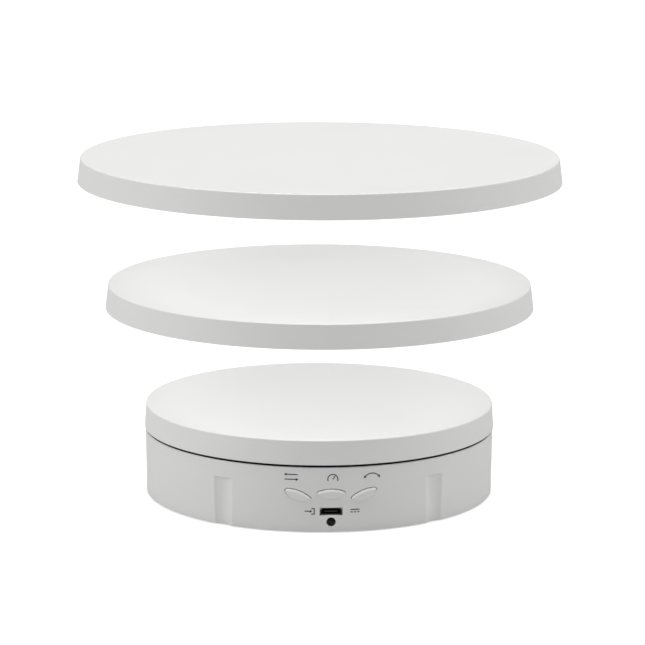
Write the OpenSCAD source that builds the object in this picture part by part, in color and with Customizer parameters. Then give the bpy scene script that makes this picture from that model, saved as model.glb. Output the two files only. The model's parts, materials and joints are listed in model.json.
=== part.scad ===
// Motorised display turntable with three interchangeable plates.
// Origin: centre of the spindle axis on the surface that the feet stand on. +Z is up, -Y is the control side.
// The two larger plates stand clear above the small one; each drops over the plate beneath it.

/* [Plates] */
// Diameter of the small plate, at its lower edge
small_d = 146; // [144:0.5:148]
// Diameter of the middle plate, at its lower edge
mid_d = 178; // [172:1:184]
// Diameter of the large plate, at its lower edge
large_d = 200; // [196:1:210]
// Height of each plate's rim
rim_h = 10; // [9:0.5:12]
// Thickness of each plate's deck
deck_t = 2.4; // [2:0.1:3]
// Thickness of each plate's rim wall
rim_t = 2; // [1.6:0.1:2.4]
// Clear height between the small plate and the middle plate's deck
mid_lift = 48; // [20:1:80]
// Clear height between the middle plate and the large plate's deck
large_lift = 50.6; // [20:0.2:80]

/* [Base] */
// Height of the unit with its small plate on, feet included
unit_h = 38; // [38:0.5:42]
// Outer diameter of the housing at its top edge
housing_d = 145.4; // [145:0.2:146]
// Height of the open seam between the housing and the small plate
seam = 1; // [0.6:0.1:1.2]
// Height of the feet below the housing
foot_h = 0.5; // [0.4:0.1:0.6]
// Thickness of the housing's round wall
wall_t = 2.8; // [2.6:0.1:3]
// Depth of the four finger flutes
flute_depth = 1.3; // [0.8:0.1:1.4]
// Width of the flutes
flute_w = 10; // [8:0.5:11]
// Angle between the middle of the controls and the nearest flutes
flute_angle = 36; // [32:1:40]

/* [Controls] */
// Length of each lens-shaped key, before its tips are rounded
key_w = 11.6; // [10:0.2:11.8]
// Distance between the keys' middles
key_pitch = 13.4; // [13:0.1:13.8]
// Height of the middle key's tips
key_z = 16.8; // [16.4:0.1:17.2]
// Tilt of the two outer keys
key_tilt = 19; // [16:1:21]
// Travel of the keys
key_travel = 0.4; // [0.2:0.1:0.5]
// Height of the power socket's middle
socket_z = 9; // [8.9:0.1:9.3]
// Height of the infrared eye's middle
eye_z = 4.6; // [4.6:0.1:4.8]

/* [Bearing] */
// Diameter of the thrust balls
ball_d = 4; // [3.8:0.1:4.2]
// Number of thrust balls
ball_count = 16; // [8:1:24]
// Radius of the ball circle
ball_circle_r = 40; // [39:0.5:41]

/* [Hidden] */
$fn = 96;
eps = 0.01;

// Heights of the base
housing_z = foot_h;
small_top = unit_h;
small_rim_z = small_top - rim_h;
housing_top = small_rim_z - seam;
turret_rise = 1.8;
turret_top = housing_top + turret_rise;
shell_t = 2.2;
turret_under = turret_top - shell_t;
cover_t = 1.8;
cover_recess = 0.4;
cover_z = housing_z + cover_recess;
cover_top = cover_z + cover_t;

// Radii of the base
housing_r = housing_d / 2;
housing_taper = 0.4;
top_bevel = 0.3;
housing_inner_r = housing_r - wall_t;
turret_r = 48;
spindle_hole_r = 4.7;
flute_r = (pow(flute_w / 2, 2) + pow(flute_depth, 2)) / (2 * flute_depth);
flute_axis_r = housing_r - flute_depth + flute_r;
flute_top_gap = 6.8;
flute_top = housing_top - flute_top_gap;
flute_bevel = 0.4;
flute_angles = [for (side = [-90, 90]) for (turn = [-1, 1]) side + turn * flute_angle];

// Bottom cover, its screws and the feet
cover_clearance = 0.2;
screw_circle_r = 62.5;
boss_r = 3.6;
boss_web_t = 1.6;
cover_pad_r = 4.6;
cover_pad_h = 1;
boss_seat = cover_top + cover_pad_h;
boss_hole_depth = 10;
screw_head_r = 2.6;
screw_head_h = 1.4;
screw_r = 1.2;
screw_length = 10;
thread_bite = 0.1;
screw_clearance = 0.2;
cover_ring_r = [26, 46];
cover_rib_h = 1.2;
cover_rib_count = 8;
foot_count = 4;
foot_r = 6;
foot_chamfer = 0.4;
foot_circle_r = 58;
foot_seat = 0.8;

// Plates
draft_small = 0.6;
draft = 1.2;
edge_r = 0.6;
ring_h = 4;
ring_t = 1.8;
ring_gap = 0.4;
rib_t = 1.2;
rib_count = 12;
small_rib_h = 2.6;
large_rib_h = 3;
mid_top = small_top + mid_lift + deck_t;
large_top = mid_top + large_lift + deck_t;

// Thrust bearing
ball_r = ball_d / 2;
race_w = 8;
race_t = 1.6;
groove_play = 0.1;
ball_gap = 0.03;
ball_z = turret_top + 3;
cage_t = 1.6;
race_seat = ball_z + 3;
lip_h = 0.8;
lip_w = 1.9;
lip_play = 0.1;
race_gap = 1.4;
cage_half_w = 3.4;

// Drive hub under the small plate, and its three screws
hub_boss_r = 8;
hub_boss_h = 1.8;
hub_seat = small_top - deck_t - hub_boss_h;
hub_flange_r = 14.6;
hub_flange_t = 2;
hub_neck_r = 6;
hub_lift = 0.4;
hub_spigot_r = 3.3;
hub_spigot_h = 1.7;
hub_play = 0.02;
hub_screw_count = 3;
hub_screw_circle_r = 11.5;
hub_screw_r = 0.95;
hub_screw_length = 4.6;
hub_hole_depth = 3.2;
hub_pad_r = 2.8;

// Gear motor
motor_offset = 8;
can_r = 14.1;
can_wall = 0.6;
can_h = 19;
flange_t = 0.8;
flange_top = turret_under;
can_z = flange_top - can_h;
ear_span = 35;
ear_r = 3.5;
ear_hole_r = 1.6;
motor_screw_r = 1.5;
motor_screw_head_r = 2.8;
motor_screw_head_h = 1.8;
motor_screw_length = 4.2;
motor_hole_depth = 3.8;
motor_boss_h = 2;
collar_r = 4.5;
collar_h = 1.5;
bush_r = 3.6;
shaft_r = 2.5;
shaft_flats = 3;
shaft_gap = 0.8;
shaft_top = small_top - deck_t - shaft_gap;
shaft_flat_z = flange_top + collar_h + 0.3;
pivot_r = 0.75;
gear_plate_t = 0.6;
gear_plate_z = can_z + 11.1;
gear_floor = gear_plate_z + gear_plate_t;
gear_lift = 0.4;
gear_step = 1.4;
gear_t = 1;
pin_r = 0.5;
run_gap = 0.06;
can_window = [10, 4, 6];
can_window_z = 3;
cap_w = 14.6;
cap_reach = 4.3;
cap_z = can_z + 0.6;
cap_h = 12;
cap_play = 0.05;

// Stator and rotor: each stator half is a channel of pole plates round a bobbin and its winding
half_h = 5.2;
pole_t = 0.6;
pole_inner_r = 5.3;
pole_outer_r = 6.1;
half_top = 5.1;
pole_count = 8;
pole_slot = [1.5, 2, 3.5];
bobbin_r = 12.6;
bobbin_bore_r = 6.2;
bobbin_h = 3.9;
winding_r = 12.2;
winding_inner_r = 7.2;
winding_h = 2.7;
bobbin_flange = 0.6;
magnet_r = 4.9;
magnet_h = 8.4;
magnet_z = can_z + 1.8;
rotor_z = can_z + 0.1;
rotor_neck_z = can_z + 10.2;
rotor_neck_r = 1;
rotor_hole_r = 1.9;

// Gear train: tooth counts of the 64:1 reduction, wheel then pinion on each arbor
rotor_teeth = 9;
first_teeth = [32, 11];
second_teeth = [22, 9];
third_teeth = [26, 10];
output_teeth = 31;
fine_module = 0.3;
coarse_module = 0.35;
pressure_angle = 25;
addendum = 0.8;
dedendum = 1;
backlash = 0.06;
flank_steps = 4;

// Arbor positions, measured from the rotor's axis
rotor_at = [0, 0];
output_at = [0, motor_offset];
first_at = rotor_at + centre_distance(rotor_teeth, first_teeth[0], fine_module) * [-1, 0];
second_turn = -35;
second_at = first_at + centre_distance(first_teeth[1], second_teeth[0], coarse_module)
    * [cos(second_turn), sin(second_turn)];
third_at = circles_meet(second_at, centre_distance(second_teeth[1], third_teeth[0], coarse_module),
    output_at, centre_distance(third_teeth[1], output_teeth, fine_module));

// Controls
board_y = -62;
board_t = 1.6;
board_w = 40;
board_play = 0.1;
board_back = board_y + board_t;
board_z = cover_top + 0.4;
board_top = housing_top - shell_t - 0.3;
bracket_w = 3.6;
bracket_z = board_z + 1.5;
bracket_front = 3;
bracket_depth = 7.6;
bracket_overlap = 1;

// What is soldered to the back of the board: driver, controller, regulator, small parts and a capacitor
driver_size = [10, 1.6, 4];
driver_x = [-16, 6];
regulator_size = [4.6, 1.4, 3];
regulator_at = [11, 8];
small_part_size = [2, 0.8, 1.2];
small_part_x = [-15, -11, 9];
small_part_z = 12.5;
driver_z = 16;
capacitor_r = 2;
capacitor_h = 5;
capacitor_at = [-13, 8];

// Switches and keys
switch_w = 6;
switch_h = 3.5;
plunger_r = 1.7;
plunger_out = 1.3;
plunger_in = 0.8;
key_gap = 0.25;
key_drop = 0.1;
sharp_tip_r = 0.4;
blunt_tip_r = 1;
key_proud = 0.6;
key_lip = 0.7;
key_lip_t = 0.7;
key_top_sagitta = 1.25;
key_low_sagitta = 2.7;
lip_gap = 0.2;
switch_play = 0.2;
plunger_play = 0.1;
stem_r = 1.5;
stem_length = 3;
outer_key_drop = 0.6;
opening_start = 8;
hole_start = 4;
cut_length = 20;
socket_w = 8.7;
socket_h = 2.9;
socket_chamfer = 0.8;
socket_mouth_y = -72.1;
usb_w = 7.8;
usb_h = 2.5;
usb_chamfer = 0.7;
usb_wall = 0.3;
usb_back_t = 1;
usb_lip = 0.25;
usb_lip_t = 0.5;
tongue_w = 5.2;
tongue_t = 0.6;
tongue_drop = 0.25;
tongue_recess = 1.8;
eye_r = 1.7;
eye_hole_r = 1.85;
eye_tip_y = -72.4;
eye_leg = [0.5, 0.5, 4];
eye_leg_x = 0.9;
eye_standoff = 3.8;

// Leads between the motor and the board, as a route in Y and Z
lead_r = 0.55;
lead_pitch = 1.4;
lead_count = 5;
lead_sides = 8;
lead_route = [[-26.4, 13], [-28, 13], [-30, 12.4], [-32, 11], [-34, 9.4], [-36, 8], [-38, 7.2], [-40, 7],
    [-42, 7.4], [-44, 8.6], [-46, 10.2], [-48, 11.6], [-49.6, 12], [-51, 12]];

// Lead plug and its socket on the board
plug_w = 8.4;
plug_h = 3.6;
plug_length = 8.2;
plug_play = 0.1;
plug_z = 10.2;
plug_seat = 1.2;
lead_socket_wall = 0.8;
lead_socket_depth = 6;
lead_socket_floor = 1;

// ---------- Helpers ----------

function centre_distance(a, b, m) = (a + b) * m / 2;

// The point at distance rp from p and rq from q, on the right of the way from p to q
function circles_meet(p, rp, q, rq) =
    let (
        way = (q - p) / norm(q - p),
        along = (rp * rp - rq * rq + pow(norm(q - p), 2)) / (2 * norm(q - p)),
        aside = sqrt(rp * rp - along * along)
    )
    p + along * way + aside * [way.y, -way.x];

// Angle that an involute has turned through where it reaches radius r
function involute_angle(base_r, r) =
    r <= base_r ? 0 :
    let (roll = sqrt(pow(r / base_r, 2) - 1))
    roll * 180 / PI - atan(roll);

// Angles and radii of one flank, from the root up to the tip, as [radius, half angle of the tooth]
function flank(teeth, m) =
    let (
        pitch_r = teeth * m / 2,
        base_r = pitch_r * cos(pressure_angle),
        root_r = pitch_r - dedendum * m,
        tip_r = pitch_r + addendum * m,
        start_r = max(base_r, root_r),
        pitch_half = 90 / teeth - backlash / 4 / pitch_r * 180 / PI + involute_angle(base_r, pitch_r)
    )
    concat(
        [[root_r, pitch_half - involute_angle(base_r, start_r)]],
        [for (i = [0:flank_steps])
            let (r = start_r + (tip_r - start_r) * i / flank_steps)
            [r, pitch_half - involute_angle(base_r, r)]]
    );

function gear_outline(teeth, m) =
    let (side = flank(teeth, m), last = len(side) - 1)
    [for (tooth = [0:teeth - 1], k = [0:2 * last + 1])
        let (
            rising = k <= last,
            point = rising ? side[k] : side[2 * last + 1 - k],
            a = tooth * 360 / teeth + (rising ? -point[1] : point[1])
        )
        point[0] * [cos(a), sin(a)]];

// Where the next wheel's tooth has to point to mesh with the wheel that drives it
function mesh_phase(driver_phase, driver_teeth, teeth, way) =
    let (share = (way - driver_phase) * driver_teeth / 360)
    way + 180 - (0.5 - share) * 360 / teeth;

function heading(from, to) = atan2(to.y - from.y, to.x - from.x);

first_phase = mesh_phase(0, rotor_teeth, first_teeth[0], heading(rotor_at, first_at));
second_phase = mesh_phase(0, first_teeth[1], second_teeth[0], heading(first_at, second_at));
third_phase = mesh_phase(0, second_teeth[1], third_teeth[0], heading(second_at, third_at));
output_phase = mesh_phase(0, third_teeth[1], output_teeth, heading(third_at, output_at));

module at_motor(p) {
    translate([p.x, p.y - motor_offset, 0]) children();
}

module ring(outer, inner, h) {
    difference() {
        cylinder(r = outer, h = h);
        translate([0, 0, -eps]) cylinder(r = inner, h = h + 2 * eps);
    }
}

module around(count, r, start = 0) {
    for (i = [0:count - 1]) rotate([0, 0, start + i * 360 / count]) translate([r, 0, 0]) children();
}

module at_angles(angles, r) {
    for (a = angles) rotate([0, 0, a]) translate([r, 0, 0]) children();
}

// Turns a shape drawn in X and Y so that its Y is up and it grows towards the front
module facing_front(y) {
    translate([0, y, 0]) rotate([90, 0, 0]) children();
}

module gear(teeth, m, h) {
    linear_extrude(h) polygon(gear_outline(teeth, m));
}

// Pan-head screw with its head's underside at z = 0 and its shank upwards
module pan_screw(head_r, head_h, r, length) {
    difference() {
        union() {
            translate([0, 0, -head_h]) cylinder(r = head_r, h = head_h);
            cylinder(r = r, h = length);
        }
        for (a = [0, 90]) rotate([0, 0, a]) translate([-head_r * 0.55, -0.25, -head_h - eps])
            cube([head_r * 1.1, 0.5, head_h * 0.6]);
    }
}

// ---------- Plates ----------

// Outline of a plate's cap in radius and height, hanging below z = 0
function plate_profile(r, slope) = concat(
    [[0, 0]],
    [for (a = [0:15:90]) [r - slope - edge_r + edge_r * sin(a), -edge_r + edge_r * cos(a)]],
    [[r, -rim_h], [r - rim_t, -rim_h], [r - rim_t - slope / 2, -deck_t], [0, -deck_t]]
);

module plate_ribs(from, to, h) {
    around(rib_count, from, 180 / rib_count)
        translate([0, -rib_t / 2, -deck_t - h]) cube([to - from, rib_t, h + eps]);
}

// A larger plate, with the ring beneath that drops over the plate whose top edge has radius seat_r
module drop_on_plate(r, seat_r, top) {
    ring_inner = seat_r + ring_gap;
    translate([0, 0, top]) {
        rotate_extrude() polygon(plate_profile(r, draft));
        translate([0, 0, -deck_t - ring_h]) ring(ring_inner + ring_t, ring_inner, ring_h + eps);
        plate_ribs(ring_inner + ring_t - eps, r - rim_t - draft / 2, large_rib_h);
    }
}

module small_plate() {
    under = small_top - deck_t;
    race_inner = ball_circle_r - race_w / 2;
    race_outer = ball_circle_r + race_w / 2;
    color("whitesmoke") difference() {
        union() {
            translate([0, 0, small_top]) {
                rotate_extrude() polygon(plate_profile(small_d / 2, draft_small));
                plate_ribs(race_outer + lip_w, small_d / 2 - rim_t - draft_small / 2, small_rib_h);
            }
            translate([0, 0, race_seat]) ring(race_outer, race_inner, under - race_seat + eps);
            for (inner = [race_inner - lip_w, race_outer + lip_play])
                translate([0, 0, race_seat - lip_h])
                    ring(inner + lip_w - lip_play, inner, under - race_seat + lip_h + eps);
            translate([0, 0, hub_seat]) ring(hub_boss_r, hub_spigot_r + lip_play, hub_boss_h + eps);
            around(hub_screw_count, hub_screw_circle_r)
                translate([0, 0, hub_seat]) cylinder(r = hub_pad_r, h = hub_boss_h + eps);
        }
        around(hub_screw_count, hub_screw_circle_r)
            translate([0, 0, hub_seat - eps]) cylinder(r = hub_screw_r, h = hub_hole_depth);
    }
}

module mid_plate() {
    color("whitesmoke") drop_on_plate(mid_d / 2, small_d / 2 - draft_small * (1 - ring_h / rim_h), mid_top);
}

module large_plate() {
    color("whitesmoke") drop_on_plate(large_d / 2, mid_d / 2 - draft * (1 - ring_h / rim_h), large_top);
}

// ---------- Housing ----------

function arc(centre, r, from, to, steps) =
    [for (i = [0:steps - 1]) let (a = from + (to - from) * i / steps) centre + r * [cos(a), sin(a)]];

function flip_x(p) = [-p.x, p.y];

// The outline of a key, grown by extra on every side: two long arcs between a left and a right tip
function key_points(extra, left_tip, right_tip) =
    let (
        half = key_w / 2,
        top_r = (half * half + key_top_sagitta * key_top_sagitta) / (2 * key_top_sagitta),
        low_r = (half * half + key_low_sagitta * key_low_sagitta) / (2 * key_low_sagitta),
        top_at = [0, key_top_sagitta - top_r],
        low_at = [0, low_r - key_low_sagitta],
        right_at = circles_meet(top_at, top_r - right_tip, low_at, low_r - right_tip),
        left_at = flip_x(circles_meet(top_at, top_r - left_tip, low_at, low_r - left_tip)),
        top_right = heading(top_at, right_at),
        top_left = heading(top_at, left_at),
        low_left = heading(low_at, left_at) + 360,
        low_right = heading(low_at, right_at) + 360
    )
    concat(
        arc(top_at, top_r + extra, top_right, top_left, 12),
        arc(left_at, left_tip + extra, top_left, low_left, 6),
        arc(low_at, low_r + extra, low_left, low_right, 12),
        arc(right_at, right_tip + extra, low_right, top_right + 360, 6)
    );

// The outer keys have their blunt tips outwards
module key_outline(side, extra) {
    polygon(key_points(extra, side < 0 ? blunt_tip_r : sharp_tip_r, side > 0 ? blunt_tip_r : sharp_tip_r));
}

// Places a key, counted -1, 0 or 1 from the left
module at_key(side) {
    translate([side * key_pitch, key_z - abs(side) * outer_key_drop, 0])
        rotate([0, 0, side * key_tilt]) children();
}

// Places what stands behind the middle of a key
module at_switch(side) {
    at_key(side) translate([0, -key_low_sagitta / 3, 0]) children();
}

module socket_outline(w, h, chamfer) {
    polygon([[-w / 2, -h / 2], [w / 2, -h / 2], [w / 2, h / 2 - chamfer], [w / 2 - chamfer, h / 2],
        [chamfer - w / 2, h / 2], [-w / 2, h / 2 - chamfer]]);
}

// A flute's cutter: a bar with a bevelled end
module flute() {
    cylinder(r = flute_r, h = flute_top - flute_bevel);
    translate([0, 0, flute_top - flute_bevel - eps])
        cylinder(r1 = flute_r, r2 = flute_r - flute_bevel, h = flute_bevel);
}

module board_bracket(side) {
    inner = side * (board_w / 2 - bracket_overlap);
    translate([min(inner, inner + side * bracket_w), board_y - bracket_front, bracket_z])
        cube([bracket_w, bracket_depth, housing_top - shell_t - bracket_z + eps]);
}

// A screw boss hanging from the deck, with a web to the wall
module cover_boss() {
    boss_h = housing_top - shell_t - boss_seat + eps;
    translate([0, 0, boss_seat]) {
        cylinder(r = boss_r, h = boss_h);
        translate([0, -boss_web_t / 2, 0]) cube([housing_inner_r - screw_circle_r + 0.5, boss_web_t, boss_h]);
    }
}

module housing_body() {
    deck_under = housing_top - shell_t;
    rotate_extrude() polygon([
        [housing_r - housing_taper, housing_z], [housing_r, housing_top - top_bevel],
        [housing_r - top_bevel, housing_top], [turret_r, housing_top], [turret_r, turret_top],
        [spindle_hole_r, turret_top], [spindle_hole_r, turret_under], [turret_r - shell_t, turret_under],
        [turret_r - shell_t, deck_under], [housing_inner_r, deck_under], [housing_inner_r, housing_z]
    ]);
    translate([0, 0, turret_top - eps])
        ring(ball_circle_r - race_w / 2 - lip_play, ball_circle_r - race_w / 2 - lip_w, lip_h + eps);
    at_angles(flute_angles, screw_circle_r) cover_boss();
    for (side = [-1, 1]) {
        board_bracket(side);
        at_motor([side * ear_span / 2, 0])
            translate([0, 0, turret_top - eps]) cylinder(r = ear_r, h = motor_boss_h);
    }
}

module control_openings() {
    facing_front(opening_start - housing_inner_r) for (side = [-1:1])
        at_key(side) linear_extrude(cut_length) key_outline(side, key_gap);
    facing_front(hole_start - housing_inner_r) {
        translate([0, socket_z, 0])
            linear_extrude(cut_length) socket_outline(socket_w, socket_h, socket_chamfer);
        translate([0, eye_z, 0]) cylinder(r = eye_hole_r, h = cut_length);
    }
}

module housing() {
    color("whitesmoke") difference() {
        housing_body();
        at_angles(flute_angles, flute_axis_r) flute();
        at_angles(flute_angles, screw_circle_r)
            translate([0, 0, boss_seat - eps]) cylinder(r = screw_r - thread_bite, h = boss_hole_depth);
        for (side = [-1, 1]) at_motor([side * ear_span / 2, 0])
            translate([0, 0, turret_under - eps])
                cylinder(r = motor_screw_r - thread_bite, h = motor_hole_depth);
        translate([-board_w / 2 - board_play, board_y - board_play, board_z - eps])
            cube([board_w + 2 * board_play, board_t + 2 * board_play, board_top - board_z + board_play]);
        control_openings();
    }
}

module bottom_cover() {
    color("gainsboro") difference() {
        union() {
            translate([0, 0, cover_z]) cylinder(r = housing_inner_r - cover_clearance, h = cover_t);
            at_angles(flute_angles, screw_circle_r)
                translate([0, 0, cover_top - eps]) cylinder(r = cover_pad_r, h = cover_pad_h + eps);
            translate([0, 0, cover_top - eps]) {
                for (r = cover_ring_r) ring(r + rib_t / 2, r - rib_t / 2, cover_rib_h);
                around(cover_rib_count, cover_ring_r[0], 180 / cover_rib_count)
                    translate([0, -rib_t / 2, 0]) cube([cover_ring_r[1] - cover_ring_r[0], rib_t, cover_rib_h]);
            }
        }
        at_angles(flute_angles, screw_circle_r) {
            translate([0, 0, cover_z - eps])
                cylinder(r = screw_head_r + screw_clearance, h = screw_head_h + eps);
            translate([0, 0, cover_z]) cylinder(r = screw_r + screw_clearance, h = cover_t + cover_pad_h + 1);
        }
        around(foot_count, foot_circle_r)
            translate([0, 0, cover_z - eps]) cylinder(r = foot_r + cover_clearance, h = foot_seat + eps);
    }
}

module rubber_feet() {
    top = cover_z + foot_seat;
    color("dimgray") around(foot_count, foot_circle_r) rotate_extrude()
        polygon([[0, 0], [foot_r - foot_chamfer, 0], [foot_r, foot_chamfer], [foot_r, top], [0, top]]);
}

module cover_screws() {
    color("silver") at_angles(flute_angles, screw_circle_r) translate([0, 0, cover_z + screw_head_h])
        pan_screw(screw_head_r, screw_head_h, screw_r - thread_bite, screw_length);
}

// ---------- Keys and board ----------

// A bar with a key's outline, grown by extra, that reaches out of the housing
module key_bar(side, extra) {
    facing_front(board_y) translate([0, -key_drop, 0]) at_key(side)
        linear_extrude(cut_length) key_outline(side, extra);
}

module key(side) {
    lip_r = housing_inner_r - lip_gap;
    color("whitesmoke") union() {
        intersection() {
            key_bar(side, 0);
            ring(housing_r + key_proud, lip_r - key_lip_t, housing_top);
        }
        intersection() {
            key_bar(side, key_lip);
            ring(lip_r, lip_r - key_lip_t, housing_top);
        }
        facing_front(board_y - switch_h - plunger_out) at_switch(side) cylinder(r = stem_r, h = stem_length);
    }
}

module plunger(side) {
    color("black") facing_front(board_y - switch_h + plunger_in) at_switch(side)
        cylinder(r = plunger_r, h = plunger_out + plunger_in);
}

module direction_key() key(-1);
module speed_key() key(0);
module angle_key() key(1);
module direction_plunger() plunger(-1);
module speed_plunger() plunger(0);
module angle_plunger() plunger(1);

module switch_bodies() {
    well_z = switch_h - plunger_in - key_travel - switch_play;
    color("silver") facing_front(board_y) for (side = [-1:1]) at_switch(side) difference() {
        translate([-switch_w / 2, -switch_w / 2, 0]) cube([switch_w, switch_w, switch_h]);
        translate([0, 0, well_z]) cylinder(r = plunger_r + plunger_play, h = switch_h);
    }
}

module control_board() {
    color("seagreen") translate([-board_w / 2, board_y, board_z]) cube([board_w, board_t, board_top - board_z]);
}

module board_parts() {
    color("black") translate([0, board_back, 0]) {
        for (x = driver_x) translate([x, 0, driver_z]) cube(driver_size);
        translate([regulator_at.x, 0, regulator_at.y]) cube(regulator_size);
        for (x = small_part_x) translate([x, 0, small_part_z]) cube(small_part_size);
        translate([capacitor_at.x, 0, capacitor_at.y])
            rotate([-90, 0, 0]) cylinder(r = capacitor_r, h = capacitor_h);
    }
}

module lead_socket() {
    outer_w = plug_w + 2 * lead_socket_wall;
    outer_h = plug_h + 2 * lead_socket_wall;
    color("ivory") translate([-outer_w / 2, board_back, plug_z - lead_socket_wall]) difference() {
        cube([outer_w, lead_socket_depth, outer_h]);
        translate([lead_socket_wall, lead_socket_floor, lead_socket_wall])
            cube([plug_w, lead_socket_depth, plug_h]);
    }
}

module lead_plug() {
    color("ivory") translate([-plug_w / 2 + plug_play, board_back + plug_seat, plug_z + plug_play])
        cube([plug_w - 2 * plug_play, plug_length, plug_h - 2 * plug_play]);
}

// One lead: a tube of straight facets along the route, at a distance x from the middle
module lead(x) {
    last = len(lead_route) - 1;
    rings = [for (i = [0:last])
        let (
            before = lead_route[max(i - 1, 0)],
            after = lead_route[min(i + 1, last)],
            way = (after - before) / norm(after - before)
        )
        for (k = [0:lead_sides - 1])
            let (a = k * 360 / lead_sides, at = lead_route[i] + lead_r * sin(a) * [-way.y, way.x])
            [x + lead_r * cos(a), at.x, at.y]];
    sides = [for (i = [0:last - 1], k = [0:lead_sides - 1])
        let (next = (k + 1) % lead_sides)
        [i * lead_sides + k, i * lead_sides + next, (i + 1) * lead_sides + next, (i + 1) * lead_sides + k]];
    first_end = [for (k = [lead_sides - 1:-1:0]) k];
    last_end = [for (k = [0:lead_sides - 1]) last * lead_sides + k];
    polyhedron(rings, concat(sides, [first_end, last_end]));
}

module motor_leads() {
    color("orangered") for (i = [0:lead_count - 1]) lead((i - (lead_count - 1) / 2) * lead_pitch);
}

module usb_shell() {
    depth = board_y - socket_mouth_y;
    color("silver") translate([0, 0, socket_z]) facing_front(board_y) difference() {
        union() {
            linear_extrude(depth) socket_outline(usb_w, usb_h, usb_chamfer);
            translate([0, 0, depth - usb_lip_t]) linear_extrude(usb_lip_t)
                socket_outline(usb_w + 2 * usb_lip, usb_h + usb_lip, usb_chamfer);
        }
        translate([0, 0, usb_back_t]) linear_extrude(depth)
            socket_outline(usb_w - 2 * usb_wall, usb_h - 2 * usb_wall, usb_chamfer - usb_wall / 2);
    }
}

module usb_tongue() {
    length = board_y - socket_mouth_y - tongue_recess;
    color("black") translate([-tongue_w / 2, 0, socket_z - tongue_drop - tongue_t / 2])
        facing_front(board_y - usb_back_t) cube([tongue_w, tongue_t, length]);
}

module infrared_eye() {
    length = board_y - eye_tip_y;
    color("black") translate([0, 0, eye_z]) facing_front(board_y) {
        translate([0, 0, eye_standoff]) cylinder(r = eye_r, h = length - eye_r - eye_standoff);
        translate([0, 0, length - eye_r]) sphere(r = eye_r);
        for (x = [-eye_leg_x, eye_leg_x]) translate([x - eye_leg.x / 2, -eye_leg.y / 2, 0]) cube(eye_leg);
    }
}

// ---------- Gear motor ----------

module motor_can() {
    color("silver") at_motor(rotor_at) translate([0, 0, can_z]) difference() {
        cylinder(r = can_r, h = can_h - flange_t);
        translate([0, 0, can_wall]) cylinder(r = can_r - can_wall, h = can_h);
        translate([0, 0, -eps]) cylinder(r = pivot_r + run_gap, h = can_h);
        translate([-can_window.x / 2, -can_r - 1, can_window_z]) cube(can_window);
    }
}

module motor_flange() {
    color("silver") difference() {
        translate([0, 0, flange_top - flange_t]) union() {
            at_motor(rotor_at) {
                cylinder(r = can_r, h = flange_t);
                translate([-ear_span / 2, -ear_r, 0]) cube([ear_span, 2 * ear_r, flange_t]);
                for (side = [-1, 1]) translate([side * ear_span / 2, 0, 0]) cylinder(r = ear_r, h = flange_t);
            }
            cylinder(r = collar_r, h = flange_t + collar_h);
        }
        cylinder(r = bush_r, h = small_top);
        for (side = [-1, 1]) at_motor([side * ear_span / 2, 0]) cylinder(r = ear_hole_r, h = small_top);
    }
}

module shaft_bush() {
    color("goldenrod") translate([0, 0, flange_top - flange_t])
        ring(bush_r, shaft_r + run_gap, flange_t + collar_h);
}

module motor_cap() {
    color("royalblue") at_motor(rotor_at) difference() {
        translate([-cap_w / 2, -can_r - cap_reach, cap_z]) cube([cap_w, cap_reach + 2, cap_h]);
        translate([0, 0, can_z]) cylinder(r = can_r + cap_play, h = can_h);
    }
}

module motor_screws() {
    color("silver") for (side = [-1, 1])
        at_motor([side * ear_span / 2, 0]) translate([0, 0, flange_top - flange_t]) pan_screw(
            motor_screw_head_r, motor_screw_head_h, motor_screw_r - thread_bite, motor_screw_length);
}

// One of the two stator halves stands on the other
module at_stator_halves() {
    for (half = [0, 1]) at_motor(rotor_at) translate([0, 0, can_z + can_wall + half * half_h]) children();
}

module coil_bobbins() {
    color("white") at_stator_halves() difference() {
        translate([0, 0, pole_t]) cylinder(r = bobbin_r, h = bobbin_h);
        translate([0, 0, pole_t + bobbin_flange]) ring(bobbin_r + 1, winding_inner_r, winding_h);
        cylinder(r = bobbin_bore_r, h = can_h);
    }
}

module coil_windings() {
    color("peru") at_stator_halves()
        translate([0, 0, pole_t + bobbin_flange]) ring(winding_r, winding_inner_r, winding_h);
}

module stator_poles() {
    outer = can_r - can_wall;
    upper = half_top - pole_t;
    color("silver") at_stator_halves() difference() {
        rotate_extrude() polygon([
            [pole_inner_r, 0], [outer, 0], [outer, pole_t], [pole_outer_r, pole_t],
            [pole_outer_r, upper], [outer, upper], [outer, half_top], [pole_inner_r, half_top]
        ]);
        around(pole_count, 5) translate([0, -pole_slot.y / 2, pole_t + 0.2]) cube(pole_slot);
    }
}

module gear_plate() {
    color("silver") difference() {
        at_motor(rotor_at) translate([0, 0, gear_plate_z]) cylinder(r = can_r - can_wall, h = gear_plate_t);
        at_motor(rotor_at) cylinder(r = rotor_hole_r, h = small_top);
        at_motor(output_at) cylinder(r = pivot_r + run_gap, h = small_top);
        for (p = [first_at, second_at, third_at]) at_motor(p) cylinder(r = pin_r, h = small_top);
    }
}

module gear_pins() {
    length = flange_top - flange_t - gear_plate_z;
    color("silver") for (p = [first_at, second_at, third_at])
        at_motor(p) translate([0, 0, gear_plate_z]) cylinder(r = pin_r, h = length);
}

module rotor_magnet() {
    color("dimgray") at_motor(rotor_at) translate([0, 0, magnet_z]) ring(magnet_r, pivot_r, magnet_h);
}

module rotor_pinion() {
    color("ivory") at_motor(rotor_at) {
        translate([0, 0, rotor_z]) cylinder(r = pivot_r, h = rotor_neck_z - rotor_z + eps);
        translate([0, 0, rotor_neck_z]) cylinder(r = rotor_neck_r, h = gear_floor + gear_lift - rotor_neck_z);
        translate([0, 0, gear_floor + gear_lift / 2]) gear(rotor_teeth, fine_module, gear_t + gear_lift);
    }
}

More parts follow.
